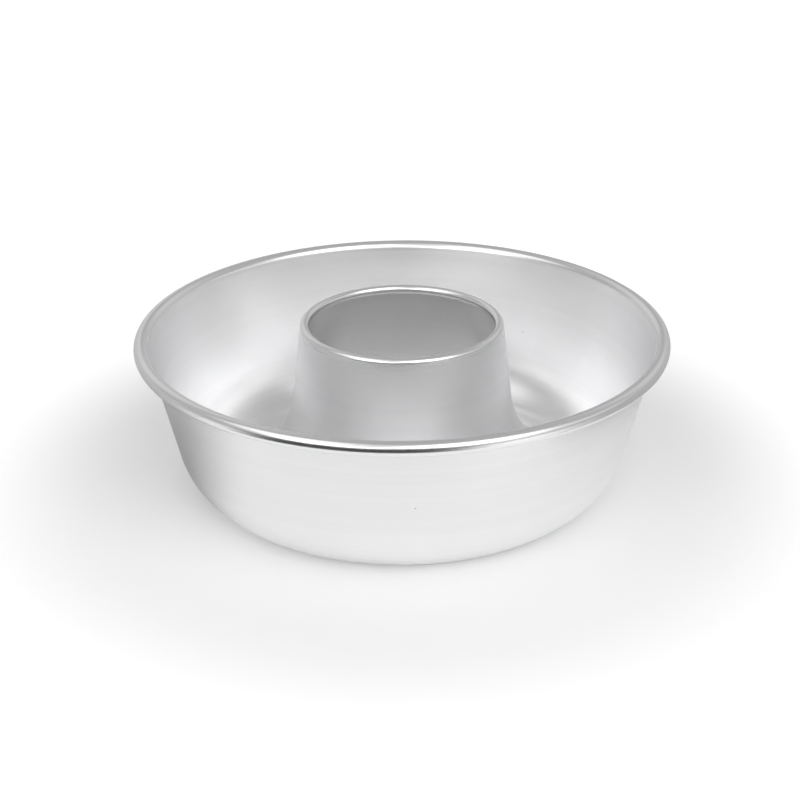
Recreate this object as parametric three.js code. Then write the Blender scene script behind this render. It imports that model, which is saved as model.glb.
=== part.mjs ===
// Ring cake pan in sheet aluminium. The outer pan and the centre tube are two pressings. The inner edge
// of the base is hemmed over a flange under the tube's foot, and both free edges are curled over wire.
// Millimetres, +Z up, axis on Z, standing on z = 0.
import * as THREE from 'three';
import { mergeVertices } from 'three/addons/utils/BufferGeometryUtils.js';

// Overall
const RIM_D = 240; // over the rolled rim
const PAN_H = 73; // base to top of the rim
const TUBE_RISE = 3.3; // tube lip above the rim
const LIP_D = 91.9; // over the tube's lip

// Sheet and wire
const SHEET = 0.8;
const RIM_WIRE_D = 4.4;
const LIP_WIRE_D = 2.4;
const WIRE_GAP = 0.1; // clearance between a wire and the sheet round it
const FOLD_GAP = 0.1; // clearance between the layers of the seam

// Outer wall, angles in degrees
const WALL_LEAN = 13; // outward from vertical
const CORNER_R = 32.9; // outside radius of the rounded lower wall
const HEEL_R = 10; // outside radius that runs the wall into the flat base
const HEEL_TURN = 34.5; // angle turned by the heel radius
const ROLL_R = 3.7; // radius on the cake side where the wall rolls over into the rim
const RIM_TURN = 230; // angle the sheet turns round the wire, from the top of the rim

// Centre tube
const TUBE_LEAN = 6.7; // inward from vertical
const FLARE_R = 50; // radius of the flared foot, on the cake side
const FOOT_SLOPE = 33; // foot where it meets the base, from horizontal
const LIP_TURN = 290; // angle the sheet turns round the wire, from the tube's wall

// Seam under the foot
const FOOT_BEND_R = 0.8; // inside radius of the bend that turns the foot back under itself
const FLANGE_W = 6; // tube flange lying on the base
const HEM_W = 4; // base edge folded back over the flange

// Faceting
const TURNS = 48; // facets round the axis
const FINE_STEP = 26; // degrees per facet of a tight bend
const WIDE_STEP = 9; // degrees per facet of a wide bend
const WIDE_R = 5; // bends above this radius are wide
const WIRE_SIDES = 12;

const curlRadius = (wireD) => wireD / 2 + WIRE_GAP + SHEET / 2; // to the centre line of the sheet
const rimCurlR = curlRadius(RIM_WIRE_D);
const lipCurlR = curlRadius(LIP_WIRE_D);
const rimBeadR = rimCurlR + SHEET / 2; // outside of the curl
const lipBeadR = lipCurlR + SHEET / 2;

const { degToRad } = THREE.MathUtils;
const heading = (deg) => new THREE.Vector2(Math.cos(degToRad(deg)), Math.sin(degToRad(deg)));
const run = (length) => ({ length });
const bend = (turn, radius) => ({ turn, radius });

// Points and headings along the centre line of a folded sheet. A positive turn is to the left.
function trace(start, startHeading, moves) {
  const stations = [{ p: start.clone(), h: startHeading }];
  for (const move of moves) {
    const { p, h } = stations.at(-1);
    if (move.length !== undefined) {
      stations.push({ p: heading(h).multiplyScalar(move.length).add(p), h });
      continue;
    }
    const step = move.radius > WIDE_R ? WIDE_STEP : FINE_STEP;
    const count = Math.ceil(Math.abs(move.turn) / step);
    const toCentre = Math.sign(move.turn) * 90;
    const centre = heading(h + toCentre).multiplyScalar(move.radius).add(p);
    for (let i = 1; i <= count; i += 1) {
      const turned = h + (move.turn * i) / count;
      const q = heading(turned - toCentre).multiplyScalar(move.radius).add(centre);
      stations.push({ p: q, h: turned });
    }
  }
  return stations;
}

// How far a row of moves carries the centre line, from the origin.
const shift = (startHeading, moves) => trace(new THREE.Vector2(), startHeading, moves).at(-1).p;

// Closed section of a sheet round its centre line, running anticlockwise.
function section(stations) {
  const side = (turn) => stations.map(({ p, h }) => heading(h + turn).multiplyScalar(SHEET / 2).add(p));
  return [...side(-90), ...side(90).reverse()];
}

function revolve(name, points, material) {
  const geometry = new THREE.LatheGeometry([...points, points[0]], TURNS);
  geometry.rotateX(Math.PI / 2);
  geometry.deleteAttribute('uv');
  geometry.deleteAttribute('normal');
  const solid = mergeVertices(geometry, 1e-4);
  solid.computeVertexNormals();
  const mesh = new THREE.Mesh(solid, material);
  mesh.name = name;
  return mesh;
}

function wireRing(name, diameter, centre, material) {
  const points = Array.from({ length: WIRE_SIDES }, (_, i) => (
    heading((360 * i) / WIRE_SIDES).multiplyScalar(diameter / 2).add(centre)
  ));
  return revolve(name, points, material);
}

// Wire centres: the two beads set the overall diameter and both heights, so a facet edge of each curl
// lies on its bead's top, and on the rim's widest line.
const rimWireAt = new THREE.Vector2(RIM_D / 2 - rimBeadR, PAN_H - rimBeadR);
const lipWireAt = new THREE.Vector2(LIP_D / 2 - lipBeadR, PAN_H + TUBE_RISE - lipBeadR);

// Heights of the seam's layers, at their centre lines.
const baseZ = SHEET / 2;
const flangeZ = baseZ + SHEET + FOLD_GAP;
const hemZ = flangeZ + SHEET + FOLD_GAP;

// Centre tube: flange, turned up into the foot, flare, tapered wall, lip curled inward.
const footHeading = 180 - FOOT_SLOPE;
const tubeHeading = 90 + TUBE_LEAN;
const footBend = bend(footHeading, FOOT_BEND_R + SHEET / 2);
const flare = bend(tubeHeading - footHeading, FLARE_R + SHEET / 2);
const tubeTop = heading(tubeHeading - 90).multiplyScalar(lipCurlR).add(lipWireAt);
const footShift = shift(0, [footBend, flare]);
const tubeRise = tubeTop.y - flangeZ - footShift.y;
const tubeRun = run(tubeRise / Math.cos(degToRad(TUBE_LEAN)));
const footR = tubeTop.x + tubeRise * Math.tan(degToRad(TUBE_LEAN)) - footShift.x;
const flangeTip = new THREE.Vector2(footR - FLANGE_W, flangeZ);
const lipCurl = [bend(180 - tubeHeading, lipCurlR), bend(LIP_TURN - 180 + tubeHeading, lipCurlR)];
const tubeLine = trace(flangeTip, 0, [run(FLANGE_W), footBend, flare, tubeRun, ...lipCurl]);

// Outer pan: hem, base, heel, rounded wall, straight wall, rim rolled outward and curled round its wire.
const wallHeading = 90 - WALL_LEAN;
const heel = bend(HEEL_TURN, HEEL_R - SHEET / 2);
const corner = bend(wallHeading - HEEL_TURN, CORNER_R - SHEET / 2);
const roll = bend(-wallHeading, ROLL_R - SHEET / 2);
const rimTop = new THREE.Vector2(rimWireAt.x, rimWireAt.y + rimCurlR);
const lowerShift = shift(0, [heel, corner]);
const rollShift = shift(wallHeading, [roll]);
const wallRise = rimTop.y - rollShift.y - lowerShift.y - baseZ;
const wallRun = run(wallRise / Math.cos(degToRad(WALL_LEAN)));
const baseR = rimTop.x - rollShift.x - wallRise * Math.tan(degToRad(WALL_LEAN)) - lowerShift.x;
const rimCurl = [bend(-90, rimCurlR), bend(90 - RIM_TURN, rimCurlR)];
const hemBendAt = flangeTip.x - FOLD_GAP;
const hemTip = new THREE.Vector2(hemBendAt + HEM_W, hemZ);
const panLine = trace(hemTip, 180, [
  run(HEM_W), bend(180, (hemZ - baseZ) / 2), run(baseR - hemBendAt), heel, corner,
  wallRun, roll, ...rimCurl,
]);

const aluminium = () => new THREE.MeshStandardMaterial({ color: 0xcdd0d2, roughness: 0.34, metalness: 1 });
const steel = () => new THREE.MeshStandardMaterial({ color: 0x8f9296, roughness: 0.45, metalness: 1 });

const group = new THREE.Group();
group.name = 'ring_cake_pan';
group.add(
  revolve('pan_body', section(panLine), aluminium()),
  revolve('centre_tube', section(tubeLine), aluminium()),
  wireRing('rim_wire', RIM_WIRE_D, rimWireAt, steel()),
  wireRing('tube_wire', LIP_WIRE_D, lipWireAt, steel()),
);

export default group;
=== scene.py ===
"""Ring cake pan: its sheet-metal pieces at full fineness, their finishes, the studio and the camera.

Metres, +Z up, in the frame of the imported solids. The pan's axis is Z and it stands on z = 0.
"""
import cmath
import math
from typing import NamedTuple

import bpy
from mathutils import Matrix, Vector


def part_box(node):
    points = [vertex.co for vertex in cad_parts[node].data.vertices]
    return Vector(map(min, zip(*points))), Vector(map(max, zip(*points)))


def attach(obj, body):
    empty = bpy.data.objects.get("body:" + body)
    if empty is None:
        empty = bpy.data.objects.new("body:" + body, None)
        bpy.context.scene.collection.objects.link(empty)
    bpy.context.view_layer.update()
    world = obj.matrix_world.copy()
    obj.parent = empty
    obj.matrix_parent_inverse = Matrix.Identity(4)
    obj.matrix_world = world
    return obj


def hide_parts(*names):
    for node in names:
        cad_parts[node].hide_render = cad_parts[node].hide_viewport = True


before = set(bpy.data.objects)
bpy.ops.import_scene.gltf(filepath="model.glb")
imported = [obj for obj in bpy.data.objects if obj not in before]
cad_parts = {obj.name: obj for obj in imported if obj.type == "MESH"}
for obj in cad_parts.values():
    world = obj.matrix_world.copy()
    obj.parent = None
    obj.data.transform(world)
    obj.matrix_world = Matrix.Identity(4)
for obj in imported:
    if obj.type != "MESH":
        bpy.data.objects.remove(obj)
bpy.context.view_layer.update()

MM = 0.001

# Sheet and folds, as in the solids
SHEET = 0.8 * MM
WIRE_GAP = 0.1 * MM  # clearance between a wire and the sheet round it
FOLD_GAP = 0.1 * MM  # clearance between the layers of the seam

# Outer wall
WALL_LEAN = 13  # outward from vertical, degrees
CORNER_R = 32.9 * MM  # outside radius of the rounded lower wall
HEEL_R = 10 * MM  # outside radius that runs the wall into the flat base
HEEL_TURN = 34.5  # angle turned by the heel radius
ROLL_R = 3.7 * MM  # radius on the cake side where the wall rolls over into the rim
RIM_TURN = 230  # angle the sheet turns round the wire, from the top of the rim

# Centre tube and the seam under its foot
TUBE_LEAN = 6.7  # inward from vertical, degrees
FLARE_R = 50 * MM  # radius of the flared foot, on the cake side
FOOT_SLOPE = 33  # foot where it meets the base, from horizontal
LIP_TURN = 290  # angle the sheet turns round the wire, from the tube's wall
FOOT_BEND_R = 0.8 * MM  # inside radius of the bend that turns the foot back under itself
FLANGE_W = 6 * MM  # tube flange lying on the base
HEM_W = 4 * MM  # base edge folded back over the flange

# Finish of the sheets. Scales of patterns are in cycles a metre, and colours are linear.
SHEET_DARK = (0.895, 0.895, 0.90, 1)  # the mottle runs from this colour
SHEET_PALE = (0.93, 0.93, 0.935, 1)  # to this one
MOTTLE_SCALE = 22
RINGS_SCALE = 420
SATIN_ROUGHNESS = (0.29, 0.35)  # across the spun lines
LINES_SCALE = 1300
SMUDGE_ROUGHNESS = 0.04  # added in smudges
SMUDGE_SCALE = 13
BEAD_ROUGHNESS = 0.26
BURNISH_FADE = 1.2 * MM  # from a bead's bright finish to the sheet's satin
GRAIN_SCALE = 1800
SHEET_BUMP = 0.08
SPECK_COLOUR = (0.42, 0.42, 0.43, 1)
SPECK_R = 0.4 * MM
SPECK_SCALE = 60  # cells with one speck each, most of them off the sheets
SCUFF_COLOUR = (0.72, 0.72, 0.73, 1)
SCUFF_SCALE = 160
SCUFF_TOP = 0.6 * MM  # height up to which the base is scuffed

# Finish of the wires
WIRE_DARK = (0.50, 0.51, 0.53, 1)
WIRE_PALE = (0.62, 0.62, 0.63, 1)
WIRE_PATCH_SCALE = 120
WIRE_ROUGHNESS = (0.35, 0.6)
DRAWN_SCALE = 5000
DRAWN_BUMP = 0.15

BUMP_DEPTH = 0.05 * MM
MIDDLING = (0.3, 0.7)  # most of a noise pattern lies between these

# Fineness of the meshes
TURNS = 192  # facets round the axis
RUN_STEP = 4 * MM  # facet length of a straight stretch
FINE_STEP = 9  # degrees per facet of a tight bend
WIDE_STEP = 2.5  # degrees per facet of a wide bend
WIDE_R = 5 * MM  # bends above this radius are wide
EDGE_FACETS = 5  # facets round a cut edge of the sheet

# Camera, fitted to the pan's outline in the photograph
IMAGE = 800  # pixels each way
FOCAL = 1624.3  # pixels
SENSOR = 36  # mm
AIM = Vector((0, 0, 36.4 * MM))
AIM_PIXEL = Vector((402.57, 400.27))  # where AIM lands in the image
CAMERA_DISTANCE = 747.8 * MM  # from AIM
CAMERA_ELEVATION = 24.90  # degrees above AIM
CAMERA_ROLL = -0.45  # degrees


class SoftLight(NamedTuple):
    """A round soft light far from the pan. Angles are in degrees, azimuth anticlockwise from +X."""

    azimuth: float
    elevation: float
    half_angle: float  # to the middle of its soft edge
    edge: float  # width of the soft edge
    brightness: float


class Card(NamedTuple):
    """A paper card round part of the pan, sloping outward from the floor. It shows only in the metal."""

    middle: float  # azimuth, degrees
    half: float  # angle from its middle to its ends
    fade: float  # angle over which its ends fade out
    near: float  # radius of its lower edge
    shade: float  # how pale it is


# Studio: a pale tent with soft lights round it
TENT = 0.41
SOFT_LIGHTS = {
    "key": SoftLight(304, 48, 21, 18, 1.7),
    "front": SoftLight(272, 28, 18, 18, 0.4),
    "front_left": SoftLight(236, 27, 19, 16, 1.55),
    "front_right": SoftLight(326, 27, 20, 18, 0.35),
    "left": SoftLight(204, 56, 18, 16, 0.9),
    "right": SoftLight(2, 12, 16, 16, 0.4),
    "back_left": SoftLight(118, 28, 18, 16, 0.25),
    "back_right": SoftLight(52, 28, 18, 16, 0.2),
}

# Cards that draw the dark line along the beads and the grey edges of the pan. The left card is a painted
# shadow: a grey sheet where the pan's shade lies on the floor to its left, seen only in the metal
CARDS = {
    "front_card": Card(254, 48, 28, 205 * MM, 0.05),
    # Painted shadow, seen only in the metal: a grey sheet standing in for the pan's shade on the floor at
    # its left
    "left_painted_shadow_card": Card(150, 76, 40, 92 * MM, 0.62),
    "right_card": Card(20, 76, 40, 160 * MM, 0.55),
}
CARD_TOP = (600 * MM, 255 * MM)  # radius and height of their upper edge
CARD_FACETS = 24
CARD_FIBRE = 0.1  # how much the paper's fibre varies its shade
FIBRE_SCALE = 60

# Floor
FLOOR_SIZE = 40
FLOOR_DARK = (0.93, 0.93, 0.93, 1)
FLOOR_PALE = (0.95, 0.95, 0.95, 1)
FLOOR_CLOUD_SCALE = 3
# Painted shade: the glow is weaker close to the pan, so the floor round it, and its reflection in the wall,
# is darker
FLOOR_GLOW = (0.1, 0.28)  # added to its own brightness where it is seen, close to the pan and far from it
FLOOR_PAINTED_SHADE_EDGE = (140 * MM, 220 * MM)  # distances from the axis between which the glow grows
FLOOR_DROP = 0.1 * MM  # below the pan's base, so that the two don't share a plane
MATT = 0.9  # roughness of the floor and the cards


def heading(degrees):
    """Unit step in a section: the radius is the real part and the height the imaginary part."""
    return cmath.rect(1, math.radians(degrees))


def run(length):
    """A straight stretch of sheet."""
    count = max(1, math.ceil(length / RUN_STEP))

    def go(point, angle):
        return [(point + heading(angle) * length * i / count, angle) for i in range(1, count + 1)]
    return go


def bend(turn, radius):
    """A bent stretch of sheet, with the radius of its centre line. A positive turn is to the left."""
    count = math.ceil(abs(turn) / (WIDE_STEP if radius > WIDE_R else FINE_STEP))
    to_centre = math.copysign(90, turn)

    def go(point, angle):
        centre = point + heading(angle + to_centre) * radius
        angles = [angle + turn * i / count for i in range(1, count + 1)]
        return [(centre + heading(a - to_centre) * radius, a) for a in angles]
    return go


def trace(start, start_heading, moves):
    """Points and headings along the centre line of a folded sheet."""
    stations = [(start, start_heading)]
    for move in moves:
        stations += move(*stations[-1])
    return stations


def shift(start_heading, moves):
    """How far a row of moves carries the centre line."""
    return trace(0j, start_heading, moves)[-1][0]


def section(stations):
    """Closed outline of a sheet round its centre line, anticlockwise, with its two cut edges rounded."""
    half = SHEET / 2
    first, first_heading = stations[0]
    last, last_heading = stations[-1]
    turns = [180 * i / EDGE_FACETS for i in range(1, EDGE_FACETS)]
    right = [point + heading(angle - 90) * half for point, angle in stations]
    last_edge = [last + heading(last_heading - 90 + turn) * half for turn in turns]
    left = [point + heading(angle + 90) * half for point, angle in reversed(stations)]
    first_edge = [first + heading(first_heading + 90 + turn) * half for turn in turns]
    return right + last_edge + left + first_edge


def revolve(name, outline):
    """A ring: a closed outline turned round Z."""
    count = len(outline)
    points = []
    for i in range(TURNS):
        around = 2 * math.pi * i / TURNS
        points += [(q.real * math.cos(around), q.real * math.sin(around), q.imag) for q in outline]
    faces = []
    for i in range(TURNS):
        here = i * count
        there = (i + 1) % TURNS * count
        for k in range(count):
            m = (k + 1) % count
            faces.append((here + k, there + k, there + m, here + m))
    mesh = bpy.data.meshes.new(name)
    mesh.from_pydata(points, [], faces)
    mesh.shade_smooth()
    ring = bpy.data.objects.new(name, mesh)
    bpy.context.collection.objects.link(ring)
    return ring


class Curl(NamedTuple):
    """An edge curled over wire: the wire's centre, and the radius of the sheet's centre line."""

    centre: complex
    radius: float

    def round_wire(self, turn):
        """The curled stretch of sheet, less the rounding of its cut edge."""
        return bend(turn - math.copysign(math.degrees(SHEET / 2 / self.radius), turn), self.radius)


def curl_over(node):
    """The curl that holds a wire ring."""
    low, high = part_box(node)
    wire_r = (high.z - low.z) / 2
    return Curl(complex(high.x - wire_r, (low.z + high.z) / 2), wire_r + WIRE_GAP + SHEET / 2)


rim_curl = curl_over("rim_wire")
lip_curl = curl_over("tube_wire")

# Heights of the seam's layers, at their centre lines
base_z = SHEET / 2
flange_z = base_z + SHEET + FOLD_GAP
hem_z = flange_z + SHEET + FOLD_GAP


def tube_line():
    """Centre line of the tube: flange, turned up into the foot, flare, tapered wall, lip curled inward."""
    foot_heading = 180 - FOOT_SLOPE
    tube_heading = 90 + TUBE_LEAN
    foot_bend = bend(foot_heading, FOOT_BEND_R + SHEET / 2)
    flare = bend(tube_heading - foot_heading, FLARE_R + SHEET / 2)
    top = lip_curl.centre + heading(tube_heading - 90) * lip_curl.radius
    foot_shift = shift(0, [foot_bend, flare])
    rise = top.imag - flange_z - foot_shift.imag
    foot_r = top.real + rise * math.tan(math.radians(TUBE_LEAN)) - foot_shift.real
    tip = complex(foot_r - FLANGE_W, flange_z)
    wall = run(rise / math.cos(math.radians(TUBE_LEAN)))
    flange = run(FLANGE_W - SHEET / 2)
    lip = lip_curl.round_wire(LIP_TURN)
    return trace(tip + SHEET / 2, 0, [flange, foot_bend, flare, wall, lip])


def pan_line(flange_tip_r):
    """Centre line of the outer pan: hem, base, heel, rounded and straight wall, rim rolled outward."""
    wall_heading = 90 - WALL_LEAN
    heel = bend(HEEL_TURN, HEEL_R - SHEET / 2)
    corner = bend(wall_heading - HEEL_TURN, CORNER_R - SHEET / 2)
    roll = bend(-wall_heading, ROLL_R - SHEET / 2)
    top = rim_curl.centre + heading(90) * rim_curl.radius
    lower = shift(0, [heel, corner])
    upper = shift(wall_heading, [roll])
    rise = top.imag - upper.imag - lower.imag - base_z
    base_r = top.real - upper.real - rise * math.tan(math.radians(WALL_LEAN)) - lower.real
    wall = run(rise / math.cos(math.radians(WALL_LEAN)))
    hem_bend_r = flange_tip_r - FOLD_GAP
    hem = run(HEM_W - SHEET / 2)
    hem_bend = bend(180, (hem_z - base_z) / 2)
    base = run(base_r - hem_bend_r)
    rim = rim_curl.round_wire(-RIM_TURN)
    start = complex(hem_bend_r + HEM_W - SHEET / 2, hem_z)
    return trace(start, 180, [hem, hem_bend, base, heel, corner, wall, roll, rim])


def node_adder(tree):
    """A function that adds one node to a tree, its inputs set or linked."""
    def add(kind, inputs=None, **settings):
        node = tree.nodes.new(kind)
        for key, value in settings.items():
            setattr(node, key, value)
        for key, value in (inputs or {}).items():
            if isinstance(value, bpy.types.NodeSocket):
                tree.links.new(value, node.inputs[key])
            else:
                node.inputs[key].default_value = value
        return node
    return add


def new_material(name):
    """A node material: itself, its function that adds nodes, and its shader."""
    material = bpy.data.materials.new(name)
    material.use_nodes = True
    return material, node_adder(material.node_tree), material.node_tree.nodes["Principled BSDF"]


def spread(add, value, source, target=(0, 1), kind="LINEAR"):
    """A value taken from one range to another and held inside it."""
    node = add("ShaderNodeMapRange", {"Value": value}, interpolation_type=kind)
    for key, limit in zip(("From Min", "From Max", "To Min", "To Max"), (*source, *target)):
        node.inputs[key].default_value = limit
    return node.outputs["Result"]


def math_of(add, operation, first, second):
    """The result of one operation on two numbers."""
    return add("ShaderNodeMath", {0: first, 1: second}, operation=operation).outputs["Value"]


def vector_of(add, operation, output, *vectors):
    """An output of one vector operation."""
    return add("ShaderNodeVectorMath", dict(enumerate(vectors)), operation=operation).outputs[output]


def noise(add, place, scale, detail, **more):
    """A soft random pattern from about 0 to 1."""
    inputs = {"Vector": place, "Scale": scale, "Detail": detail, **more}
    return add("ShaderNodeTexNoise", inputs).outputs["Fac"]


def blend(add, factor, first, second):
    """The first colour where the factor is 0 and the second where it is 1."""
    inputs = {"Factor": factor, "A": first, "B": second}
    return add("ShaderNodeMix", inputs, data_type="RGBA").outputs["Result"]


def object_place(add):
    """Coordinates in the object's own frame."""
    return add("ShaderNodeTexCoord").outputs["Object"]


def flat_place(add, place):
    """A place brought down to z = 0."""
    return vector_of(add, "MULTIPLY", "Vector", place, (1, 1, 0))


def height_of(add, place):
    """The height of a place."""
    return add("ShaderNodeSeparateXYZ", {"Vector": place}).outputs["Z"]


def round_place(add):
    """Coordinates for the textures of a round piece: its place, and its radius and height as one vector."""
    place = object_place(add)
    radius = vector_of(add, "LENGTH", "Value", flat_place(add, place))
    across = add("ShaderNodeCombineXYZ", {"X": radius, "Z": height_of(add, place)}).outputs["Vector"]
    return place, across


def on_bead(add, across, curl):
    """1 on a rolled bead, fading to 0 just below it."""
    away = vector_of(add, "DISTANCE", "Value", across, (curl.centre.real, 0, curl.centre.imag))
    bead_r = curl.radius + SHEET / 2
    return spread(add, away, (bead_r + BURNISH_FADE, bead_r), kind="SMOOTHSTEP")


def on_beads(add, across):
    """1 on the two rolled beads, fading to 0 just below them."""
    return math_of(add, "MAXIMUM", on_bead(add, across, rim_curl), on_bead(add, across, lip_curl))


def specks(add, place):
    """1 on a few small dark specks, 0 elsewhere."""
    away = add("ShaderNodeTexVoronoi", {"Vector": place, "Scale": SPECK_SCALE}).outputs["Distance"]
    edge = SPECK_R * SPECK_SCALE
    return spread(add, away, (edge, edge / 2), kind="SMOOTHSTEP")


def scuffs(add, place):
    """Up to 1 on the face that the pan rests on, in the patches that wear, and 0 above it."""
    low = spread(add, height_of(add, place), (SCUFF_TOP, 0))
    wear = noise(add, place, SCUFF_SCALE, 6, Roughness=0.7)
    return math_of(add, "MULTIPLY", low, spread(add, wear, (0.45, 0.7)))


def sheet_colour(add, place, across):
    """Pale neutral grey: a faint mottle, fainter rings, dull scuffs and dark specks."""
    mottle = noise(add, place, MOTTLE_SCALE, 4)
    rings = noise(add, across, RINGS_SCALE, 3)
    tone = spread(add, math_of(add, "ADD", mottle, rings), (0.7, 1.3))
    plain = blend(add, tone, SHEET_DARK, SHEET_PALE)
    worn = blend(add, scuffs(add, place), plain, SCUFF_COLOUR)
    return blend(add, specks(add, place), worn, SPECK_COLOUR)


def sheet_roughness(add, place, lines, burnish):
    """Satin that varies across the spun lines and in broad smudges, and smoother beads."""
    satin = spread(add, lines, MIDDLING, SATIN_ROUGHNESS)
    broad = noise(add, place, SMUDGE_SCALE, 5, Distortion=0.6)
    smudge = spread(add, broad, (0.4, 0.7), (0, SMUDGE_ROUGHNESS))
    dull = math_of(add, "ADD", satin, smudge)
    inputs = {"Value": burnish, "To Min": dull, "To Max": BEAD_ROUGHNESS}
    return add("ShaderNodeMapRange", inputs).outputs["Result"]


def satin_aluminium():
    """Satin sheet: spun lines round the axis, a soft grain, burnished beads, specks and a scuffed base."""
    material, add, shader = new_material("satin_aluminium")
    links = material.node_tree.links
    place, across = round_place(add)
    lines = noise(add, across, LINES_SCALE, 3)
    grain = noise(add, place, GRAIN_SCALE, 2)
    links.new(sheet_colour(add, place, across), shader.inputs["Base Color"])
    links.new(sheet_roughness(add, place, lines, on_beads(add, across)), shader.inputs["Roughness"])
    spun = add("ShaderNodeBump", {"Height": lines, "Strength": SHEET_BUMP, "Distance": BUMP_DEPTH})
    sanded = add("ShaderNodeBump", {"Height": grain, "Strength": SHEET_BUMP, "Distance": BUMP_DEPTH})
    links.new(spun.outputs["Normal"], sanded.inputs["Normal"])
    links.new(sanded.outputs["Normal"], shader.inputs["Normal"])
    shader.inputs["Metallic"].default_value = 1
    return material


def steel_wire():
    """Drawn steel wire: lines along its length and dull grey patches."""
    material, add, shader = new_material("steel_wire")
    links = material.node_tree.links
    place, across = round_place(add)
    lines = noise(add, across, DRAWN_SCALE, 2)
    patches = noise(add, place, WIRE_PATCH_SCALE, 4)
    links.new(blend(add, patches, WIRE_DARK, WIRE_PALE), shader.inputs["Base Color"])
    links.new(spread(add, patches, (0, 1), WIRE_ROUGHNESS), shader.inputs["Roughness"])
    drawn = add("ShaderNodeBump", {"Height": lines, "Strength": DRAWN_BUMP, "Distance": BUMP_DEPTH})
    links.new(drawn.outputs["Normal"], shader.inputs["Normal"])
    shader.inputs["Metallic"].default_value = 1
    return material


def make_matt(shader):
    """A dull surface without highlights."""
    shader.inputs["Roughness"].default_value = MATT
    shader.inputs["Specular IOR Level"].default_value = 0


def floor_white():
    """Matt white studio floor, which the camera and the metal see a little lighter than it is lit, least so
    near the pan: a painted shade round it.
    """
    material, add, shader = new_material("floor_white")
    links = material.node_tree.links
    place = object_place(add)
    cloud = noise(add, place, FLOOR_CLOUD_SCALE, 2)
    links.new(blend(add, cloud, FLOOR_DARK, FLOOR_PALE), shader.inputs["Base Color"])
    make_matt(shader)

    ray = add("ShaderNodeLightPath").outputs
    seen = math_of(add, "MAXIMUM", ray["Is Camera Ray"], ray["Is Glossy Ray"])
    seen = math_of(add, "MAXIMUM", seen, ray["Is Transmission Ray"])
    away = vector_of(add, "LENGTH", "Value", place)
    # Painted shade round the pan: the glow grows from its near level to its far level with the distance
    # from the axis
    level = spread(add, away, FLOOR_PAINTED_SHADE_EDGE, FLOOR_GLOW, "SMOOTHSTEP")
    shader.inputs["Emission Color"].default_value = (1, 1, 1, 1)
    links.new(math_of(add, "MULTIPLY", seen, level), shader.inputs["Emission Strength"])
    return material


def towards(azimuth, elevation):
    """Unit vector to a point of the sky, from angles in degrees."""
    level = math.cos(math.radians(elevation))
    around = math.radians(azimuth)
    return Vector((level * math.cos(around), level * math.sin(around), math.sin(math.radians(elevation))))


def add_piece(ring, node, material):
    """Stands a finished ring in for its node."""
    ring.data.materials.append(material)
    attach(ring, "root")
    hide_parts(node)


def add_floor():
    """A level square just below the pan."""
    half = FLOOR_SIZE / 2
    corners = [(-half, -half, -FLOOR_DROP), (half, -half, -FLOOR_DROP)]
    corners += [(half, half, -FLOOR_DROP), (-half, half, -FLOOR_DROP)]
    mesh = bpy.data.meshes.new("floor")
    mesh.from_pydata(corners, [], [(0, 1, 2, 3)])
    mesh.materials.append(floor_white())
    floor = bpy.data.objects.new("floor", mesh)
    bpy.context.collection.objects.link(floor)


def card_paper(name, card):
    """Matt paper whose two ends fade to nothing."""
    material, add, shader = new_material(name)
    links = material.node_tree.links
    place = object_place(add)
    fibre = noise(add, place, FIBRE_SCALE, 3)
    dark = (card.shade * (1 - CARD_FIBRE),) * 3 + (1,)
    pale = (card.shade * (1 + CARD_FIBRE),) * 3 + (1,)
    links.new(blend(add, fibre, dark, pale), shader.inputs["Base Color"])
    make_matt(shader)

    level = vector_of(add, "NORMALIZE", "Vector", flat_place(add, place))
    nearness = vector_of(add, "DOT_PRODUCT", "Value", level, towards(card.middle, 0))
    end = math.cos(math.radians(card.half))
    full = math.cos(math.radians(card.half - card.fade))
    links.new(spread(add, nearness, (end, full), kind="SMOOTHSTEP"), shader.inputs["Alpha"])
    return material


def add_card(name, card):
    """Stands a card round the pan. It darkens neither the floor nor the view of a camera."""
    points = []
    for i in range(CARD_FACETS + 1):
        around = math.radians(card.middle + card.half * (2 * i / CARD_FACETS - 1))
        points += [(r * math.cos(around), r * math.sin(around), z) for r, z in ((card.near, 0), CARD_TOP)]
    faces = [(2 * i, 2 * i + 1, 2 * i + 3, 2 * i + 2) for i in range(CARD_FACETS)]
    mesh = bpy.data.meshes.new(name)
    mesh.from_pydata(points, [], faces)
    mesh.materials.append(card_paper(name, card))
    sheet = bpy.data.objects.new(name, mesh)
    sheet.visible_camera = False
    sheet.visible_diffuse = False
    sheet.visible_shadow = False
    bpy.context.collection.objects.link(sheet)


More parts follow.
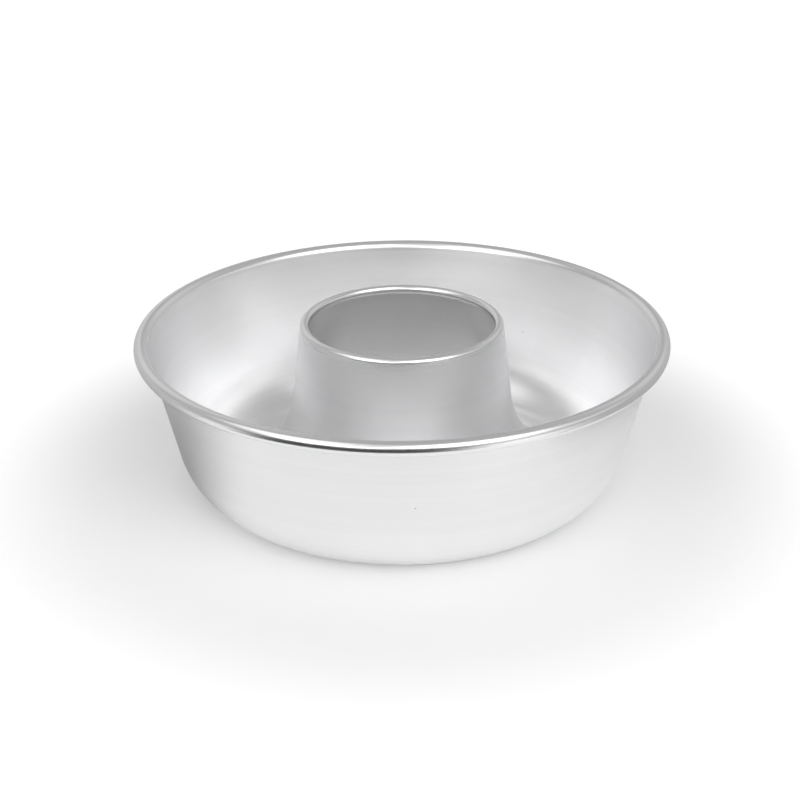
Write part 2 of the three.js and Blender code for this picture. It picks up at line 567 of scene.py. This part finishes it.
def add_camera():
    """The photograph's camera: AIM_PIXEL is off the image's middle by a small turn, not by a lens shift."""
    off_axis = AIM_PIXEL - Vector((IMAGE / 2, IMAGE / 2))
    elevation = math.radians(CAMERA_ELEVATION)
    pitch = elevation - math.atan(off_axis.y / FOCAL)
    turn = Matrix.Rotation(math.atan(off_axis.x / FOCAL), 4, "Z")
    tilt = Matrix.Rotation(math.pi / 2 - pitch, 4, "X")
    roll = Matrix.Rotation(math.radians(CAMERA_ROLL), 4, "Z")
    back = Vector((0, -math.cos(elevation), math.sin(elevation))) * CAMERA_DISTANCE
    data = bpy.data.cameras.new("camera")
    data.sensor_width = SENSOR
    data.lens = FOCAL * SENSOR / IMAGE
    camera = bpy.data.objects.new("camera", data)
    camera.matrix_world = Matrix.Translation(AIM + back) @ turn @ tilt @ roll
    bpy.context.collection.objects.link(camera)
    bpy.context.scene.camera = camera


def add_world():
    """The studio: an even pale tent and its soft lights."""
    world = bpy.data.worlds.new("studio")
    world.use_nodes = True
    add = node_adder(world.node_tree)
    look = add("ShaderNodeTexCoord").outputs["Generated"]
    total = TENT
    for light in SOFT_LIGHTS.values():
        nearness = vector_of(add, "DOT_PRODUCT", "Value", look, towards(light.azimuth, light.elevation))
        dark = math.cos(math.radians(light.half_angle + light.edge / 2))
        lit = math.cos(math.radians(light.half_angle - light.edge / 2))
        disc = spread(add, nearness, (dark, lit), (0, light.brightness), "SMOOTHSTEP")
        total = math_of(add, "ADD", total, disc)
    background = world.node_tree.nodes["Background"]
    background.inputs["Color"].default_value = (1, 1, 1, 1)
    world.node_tree.links.new(total, background.inputs["Strength"])
    bpy.context.scene.world = world


tube = tube_line()
flange_tip_r = tube[0][0].real - SHEET / 2
aluminium = satin_aluminium()
add_piece(revolve("centre_tube_sheet", section(tube)), "centre_tube", aluminium)
pan = pan_line(flange_tip_r)
add_piece(revolve("pan_body_sheet", section(pan)), "pan_body", aluminium)
wire_material = steel_wire()
for wire in ("rim_wire", "tube_wire"):
    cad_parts[wire].material_slots[0].material = wire_material
add_floor()
for card_name, card in CARDS.items():
    add_card(card_name, card)
add_world()
add_camera()
bpy.context.scene.view_settings.view_transform = "Standard"
